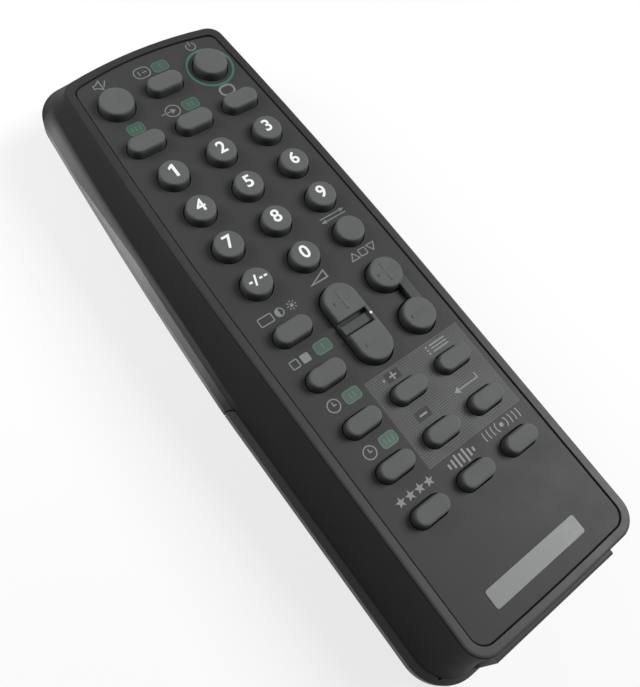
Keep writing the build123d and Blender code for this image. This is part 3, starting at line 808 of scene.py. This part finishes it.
def make_panel_marks(grey):
    """Plus and minus on the bare patches of the panel, and a dot beside the plus."""
    long, thin = PLUS_HALF, PLUS_LINE / 2
    plus = [(-long, -thin), (-thin, -thin), (-thin, -long), (thin, -long), (thin, -thin), (long, -thin),
            (long, thin), (thin, thin), (thin, long), (-thin, long), (-thin, thin), (-long, thin)]
    print_mark("panel_plus", [moved(PLUS_AT, plus)], grey, FACE_Z)
    print_mark("panel_dot", [dot(DOT_BY_PLUS)], grey, FACE_Z)
    minus = moved(MINUS_AT, [(-MINUS_HALF, 0), (MINUS_HALF, 0)])
    print_mark("panel_minus", line(minus, MINUS_LINE), grey, FACE_Z)


def raised_bar(name, start, end, height, material, body):
    """Raised rounded bar, mostly sunk in the surface of a key."""
    curve = bpy.data.curves.new(name, "CURVE")
    curve.dimensions = "3D"
    curve.bevel_depth = EMBOSS_RADIUS * MM
    curve.bevel_resolution = EMBOSS_STEPS
    curve.use_fill_caps = True
    spline = curve.splines.new("POLY")
    spline.points.add(1)
    for point, (x, y) in zip(spline.points, (start, end)):
        point.co = (x * MM, y * MM, (height - EMBOSS_RADIUS + EMBOSS_PROUD) * MM, 1.0)
    bar = finish_mark(name, curve, material, Vector((0, 0, 0)), body)
    for polygon in bar.data.polygons:
        polygon.use_smooth = True


def make_embossing(rubber):
    """Raised plus and minus on both pads of each tilting key."""
    half = EMBOSS_HALF
    for node, reach in PAD_CENTRES.items():
        x, y, z = top_of(node)
        raised_bar(node + "_plus_across", (x - half, y + reach), (x + half, y + reach), z, rubber, node)
        raised_bar(node + "_plus_along", (x, y + reach - half), (x, y + reach + half), z, rubber, node)
        raised_bar(node + "_minus", (x - half, y - reach), (x + half, y - reach), z, rubber, node)


def make_marks(rubber):
    """Everything printed or raised on the face and the keys."""
    white = moulded("white_ink", WHITE_INK, INK_FINISH)
    grey = moulded("grey_ink", GREY_INK, INK_FINISH)
    green = moulded("green_ink", GREEN_INK, INK_FINISH)
    dim_green = moulded("dim_green_ink", DIM_GREEN_INK, INK_FINISH)
    make_digits(white)
    make_dashes(white)
    make_grey_marks(grey)
    make_green_marks(green, dim_green)
    make_panel_marks(grey)
    make_embossing(rubber)
    x, y, z = top_of("key_volume")
    print_mark("volume_dot", [dot((x + VOLUME_DOT_X, y))], white, z - WEB_DROP, "key_volume")


def seen_rays(tree):
    """1 for rays from the camera, or by way of a mirror or clear surface."""
    path = tree.nodes.new("ShaderNodeLightPath")
    seen = arithmetic(tree, "MAXIMUM", path.outputs["Is Camera Ray"], path.outputs["Is Glossy Ray"])
    return arithmetic(tree, "MAXIMUM", seen, path.outputs["Is Transmission Ray"])


def table_material():
    """Grey table that the camera sees as nearly white, and as plain white further out."""
    material, tree, shader = new_material("table")
    seen = seen_rays(tree)
    colours = [cloudy(tree, colour, TABLE_SHADE, TABLE_CLOUD) for colour in (TABLE, TABLE_SEEN)]
    feed(tree, shader.inputs["Base Color"], blend_colours(tree, seen, *colours))
    feed(tree, shader.inputs["Roughness"], TABLE_ROUGHNESS)
    feed(tree, shader.inputs["Specular IOR Level"], 0.0)
    glow = tree.nodes.new("ShaderNodeEmission")
    feed(tree, glow.inputs["Strength"], 1.0)
    share = spread(tree, distance(tree), TABLE_GLOW, 1.0, (WHITE_FROM, WHITE_AT))
    mix = tree.nodes.new("ShaderNodeMixShader")
    feed(tree, mix.inputs["Fac"], both(tree, seen, share))
    feed(tree, mix.inputs[1], shader.outputs["BSDF"])
    feed(tree, mix.inputs[2], glow.outputs["Emission"])
    feed(tree, tree.nodes["Material Output"].inputs["Surface"], mix.outputs["Shader"])
    return material


def make_floor():
    """Flat table under the object, which takes its shadow."""
    corners = [(x * TABLE_HALF, y * TABLE_HALF, 0) for x, y in ((-1, -1), (1, -1), (1, 1), (-1, 1))]
    mesh = bpy.data.meshes.new("table_top")
    mesh.from_pydata(corners, [], [(0, 1, 2, 3)])
    mesh.materials.append(table_material())
    table = bpy.data.objects.new("table_top", mesh)
    bpy.context.scene.collection.objects.link(table)


def make_world():
    """Plain room light, with a white surround where it is seen directly or mirrored."""
    world = bpy.data.worlds.new("room")
    bpy.context.scene.world = world
    world.use_nodes = True
    tree = world.node_tree
    plain = tree.nodes["Background"]
    white = tree.nodes.new("ShaderNodeBackground")
    for background, strength in ((plain, ROOM_LIGHT), (white, 1.0)):
        feed(tree, background.inputs["Color"], PLAIN_WHITE)
        feed(tree, background.inputs["Strength"], strength)
    mix = tree.nodes.new("ShaderNodeMixShader")
    feed(tree, mix.inputs["Fac"], seen_rays(tree))
    feed(tree, mix.inputs[1], plain.outputs[0])
    feed(tree, mix.inputs[2], white.outputs[0])
    feed(tree, tree.nodes["World Output"].inputs["Surface"], mix.outputs[0])


def area_light(name, place, target, size, power, only_mirrored=False):
    """Soft square lamp that faces a target and isn't seen itself."""
    lamp = bpy.data.lights.new(name, "AREA")
    lamp.shape = "SQUARE"
    lamp.size = size
    lamp.energy = power
    holder = bpy.data.objects.new(name, lamp)
    holder.location = place
    direction = Vector(target) - Vector(place)
    holder.rotation_euler = direction.to_track_quat("-Z", "Y").to_euler()
    holder.visible_camera = False
    holder.visible_diffuse = not only_mirrored
    bpy.context.scene.collection.objects.link(holder)


def make_lights():
    """Lamp high up at the right, small one at the far left, and a low one that only gives gloss."""
    area_light("key_light", **KEY_LAMP)
    area_light("side_light", **SIDE_LAMP)
    area_light("low_light", **LOW_LAMP, only_mirrored=True)


def make_camera():
    """Camera at the fitted place, with its picture upright."""
    data = bpy.data.cameras.new("camera")
    data.sensor_width = SENSOR
    data.lens = FOCAL_PIXELS * SENSOR / IMAGE_HEIGHT
    data.clip_start = NEAREST * MM
    data.clip_end = FURTHEST * MM
    camera = bpy.data.objects.new("camera", data)
    right = Vector(CAMERA_RIGHT).normalized()
    back = right.cross(Vector(CAMERA_UP)).normalized()
    up = back.cross(right)
    turn = Matrix((right, up, back)).transposed().to_4x4()
    camera.matrix_world = Matrix.Translation(Vector(CAMERA_AT) * MM) @ turn
    bpy.context.scene.collection.objects.link(camera)
    bpy.context.scene.camera = camera


painted = paint_nodes()
make_marks(painted["key"])
make_floor()
make_world()
make_lights()
make_camera()
bpy.context.scene.view_settings.view_transform = "Standard"
